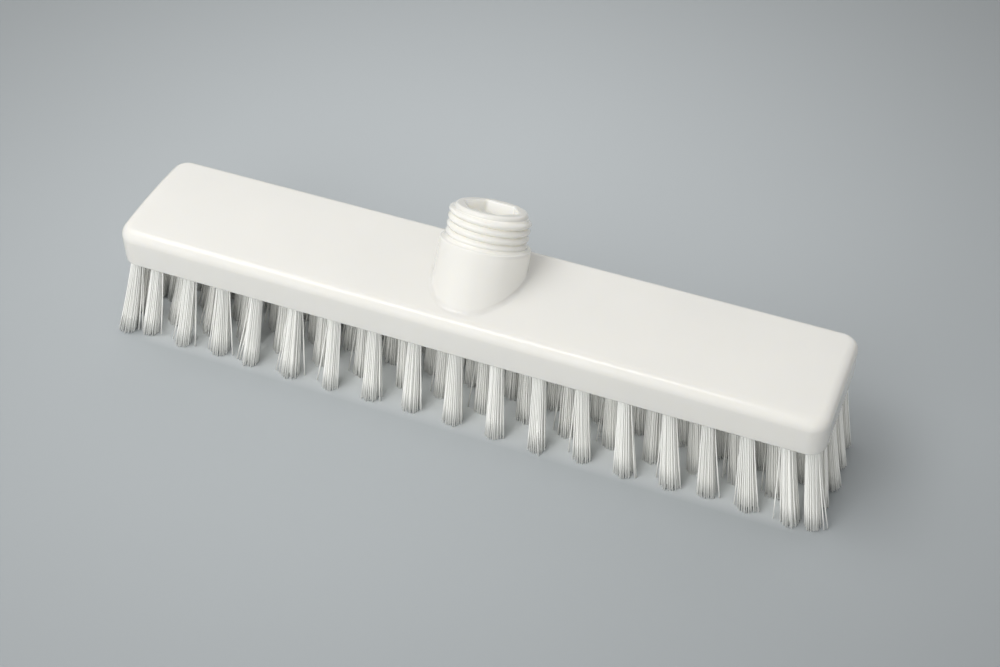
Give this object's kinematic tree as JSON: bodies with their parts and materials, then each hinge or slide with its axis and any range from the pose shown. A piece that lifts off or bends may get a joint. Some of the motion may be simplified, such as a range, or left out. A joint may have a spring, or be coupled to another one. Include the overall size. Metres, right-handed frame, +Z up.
{
  "type": "deck brush",
  "caption": "Scrubbing brush head: a crowned block with a threaded spigot that leans back and has a hexagonal bore, over staggered tufts of stiff bristles.",
  "frame": {"origin": "on the floor under the middle of the bounding box, at the level of the trimmed bristle tips", "axes": "+X along the block, +Y to the back, the way that the spigot leans, +Z up from the bristle tips to the block"},
  "size_m": [0.3123, 0.0576, 0.0902],
  "materials": {
    "moulded_plastic": "smooth off-white moulding with a soft gloss",
    "bristle_fibre": "stiff off-white filaments with cut tips"
  },
  "bodies": {
    "root": {"block": "moulded_plastic", "tuft_column_01": "bristle_fibre", "tuft_column_02": "bristle_fibre", "tuft_column_03": "bristle_fibre", "tuft_column_04": "bristle_fibre", "tuft_column_05": "bristle_fibre", "tuft_column_06": "bristle_fibre", "tuft_column_07": "bristle_fibre", "tuft_column_08": "bristle_fibre", "tuft_column_09": "bristle_fibre", "tuft_column_10": "bristle_fibre", "tuft_column_11": "bristle_fibre", "tuft_column_12": "bristle_fibre", "tuft_column_13": "bristle_fibre", "tuft_column_14": "bristle_fibre", "tuft_column_15": "bristle_fibre", "tuft_column_16": "bristle_fibre", "tuft_column_17": "bristle_fibre", "tuft_column_18": "bristle_fibre", "tuft_column_19": "bristle_fibre", "tuft_column_20": "bristle_fibre", "tuft_column_21": "bristle_fibre", "tuft_column_22": "bristle_fibre", "tuft_column_23": "bristle_fibre", "tuft_column_24": "bristle_fibre", "tuft_column_25": "bristle_fibre", "tuft_column_26": "bristle_fibre", "tuft_column_27": "bristle_fibre", "tuft_column_28": "bristle_fibre", "tuft_column_29": "bristle_fibre", "tuft_column_30": "bristle_fibre", "tuft_column_31": "bristle_fibre", "tuft_column_32": "bristle_fibre", "tuft_column_33": "bristle_fibre", "tuft_column_34": "bristle_fibre", "tuft_column_35": "bristle_fibre"}
  },
  "joints": []
}
